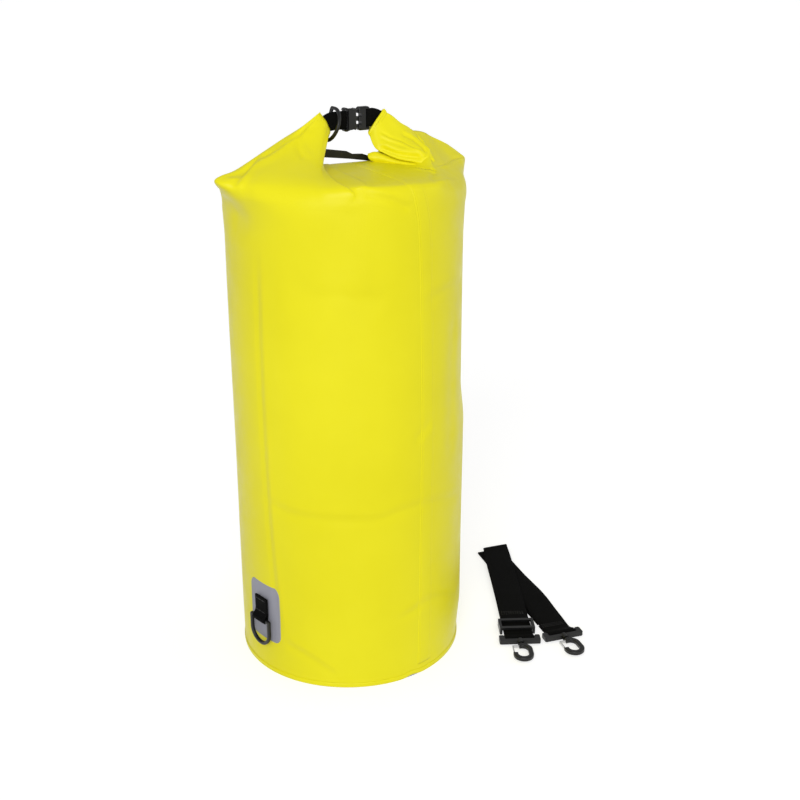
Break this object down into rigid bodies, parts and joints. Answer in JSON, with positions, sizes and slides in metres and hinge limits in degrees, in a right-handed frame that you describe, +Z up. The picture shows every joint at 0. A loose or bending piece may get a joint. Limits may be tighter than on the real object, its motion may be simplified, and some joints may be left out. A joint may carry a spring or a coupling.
{
  "type": "stuff sack",
  "caption": "Upright roll-top dry sack in coated fabric: rolled mouth clipped into a carry loop, base D-ring and a detached webbing shoulder strap with snap hooks.",
  "frame": {"origin": "centre of the round base where it meets the ground", "axes": "+Z up along the bag, X along the rolled mouth with the buckle's latch towards +X, front towards -Y"},
  "size_m": [0.4868, 0.37, 0.7036],
  "materials": {
    "yellow_pvc": "semi-gloss coated tarpaulin",
    "grey_pvc": "satin coated tarpaulin",
    "black_webbing": "ribbed webbing",
    "black_plastic": "satin moulded acetal",
    "black_stiffener": "smooth strip",
    "black_thread": "bonded thread",
    "gate_steel": "spring wire"
  },
  "bodies": {
    "bag": {"bag_tube": "yellow_pvc", "bag_shoulder": "yellow_pvc", "base_disc": "grey_pvc", "base_seam_ring": "yellow_pvc", "side_seam_tape": "yellow_pvc", "lower_patch": "grey_pvc", "mouth_roll_left": "yellow_pvc", "mouth_roll_right": "yellow_pvc", "right_arm_tip": "yellow_pvc", "mouth_stiffener": "black_stiffener", "left_buckle_webbing": "black_webbing", "buckle_socket": "black_plastic", "lower_webbing_tab": "black_webbing", "tab_bartacks": "black_thread"},
    "latch": {"buckle_latch": "black_plastic", "right_buckle_webbing": "black_webbing", "right_end_hem": "yellow_pvc"},
    "prong_up": {"upper_prong": "black_plastic"},
    "prong_down": {"lower_prong": "black_plastic"},
    "top_ring": {"top_d_ring": "black_plastic"},
    "lower_ring": {"lower_d_ring": "black_plastic"},
    "strap": {"strap_upper_run": "black_webbing", "strap_lower_run": "black_webbing", "hook_1_end_loop": "black_webbing", "hook_2_end_loop": "black_webbing"},
    "slider": {"strap_slider": "black_plastic"},
    "hook_1_swivel_base": {"hook_1_base": "black_plastic"},
    "hook_1_hook": {"hook_1_snap": "black_plastic"},
    "hook_1_spring_gate": {"hook_1_gate": "gate_steel"},
    "hook_2_swivel_base": {"hook_2_base": "black_plastic"},
    "hook_2_hook": {"hook_2_snap": "black_plastic"},
    "hook_2_spring_gate": {"hook_2_gate": "gate_steel"}
  },
  "joints": [
    {"name": "buckle_release", "type": "slide", "parent": "bag", "child": "latch", "axis": [1, 0, 0], "range_m": [0, 0.013], "deforming": ["right_arm_tip", "upper_prong", "lower_prong"]},
    {"name": "upper_prong_press", "type": "hinge", "parent": "latch", "child": "prong_up", "pos_m": [0.0192, 0, 0.6963], "axis": [0, -1, 0], "range_deg": [0, 10], "stiffness_Nm_per_rad": 0.05},
    {"name": "lower_prong_press", "type": "hinge", "parent": "latch", "child": "prong_down", "pos_m": [0.0192, 0, 0.6793], "axis": [0, 1, 0], "range_deg": [0, 10], "stiffness_Nm_per_rad": 0.05},
    {"name": "top_ring_swing", "type": "hinge", "parent": "bag", "child": "top_ring", "pos_m": [-0.01013, 0, 0.69938], "axis": [0.9455, 0, -0.3256], "range_deg": [-6, 6]},
    {"name": "lower_ring_swing", "type": "hinge", "parent": "bag", "child": "lower_ring", "pos_m": [-0.14818, -0.02746, 0.076], "axis": [-0.1822, 0.9833, 0], "range_deg": [0, 160]},
    {"name": "strap_lift", "type": "slide", "parent": "bag", "child": "strap", "axis": [0, 0, 1], "range_m": [0, 0.3]},
    {"name": "slider_travel", "type": "slide", "parent": "strap", "child": "slider", "axis": [0.4848, 0.8746, 0], "range_m": [0, 0.014]},
    {"name": "hook_1_fold", "type": "hinge", "parent": "strap", "child": "hook_1_swivel_base", "pos_m": [0.1758, -0.1505, 0.0045], "axis": [-0.8746, 0.4848, 0], "range_deg": [0, 110]},
    {"name": "hook_1_swivel", "type": "hinge", "parent": "hook_1_swivel_base", "child": "hook_1_hook", "pos_m": [0.16998, -0.161, 0.0045], "axis": [-0.4848, -0.8746, 0], "continuous": true},
    {"name": "hook_1_gate_press", "type": "hinge", "parent": "hook_1_hook", "child": "hook_1_spring_gate", "pos_m": [0.16156, -0.16753, 0.0045], "axis": [0, 0, 1], "range_deg": [0, 25], "stiffness_Nm_per_rad": 0.02},
    {"name": "hook_2_fold", "type": "hinge", "parent": "strap", "child": "hook_2_swivel_base", "pos_m": [0.2315, -0.1705, 0.0045], "axis": [-0.9724, 0.2334, 0], "range_deg": [0, 110]},
    {"name": "hook_2_swivel", "type": "hinge", "parent": "hook_2_swivel_base", "child": "hook_2_hook", "pos_m": [0.2287, -0.18217, 0.0045], "axis": [-0.2334, -0.9724, 0], "continuous": true},
    {"name": "hook_2_gate_press", "type": "hinge", "parent": "hook_2_hook", "child": "hook_2_spring_gate", "pos_m": [0.22233, -0.19072, 0.0045], "axis": [0, 0, 1], "range_deg": [0, 25], "stiffness_Nm_per_rad": 0.02}
  ]
}
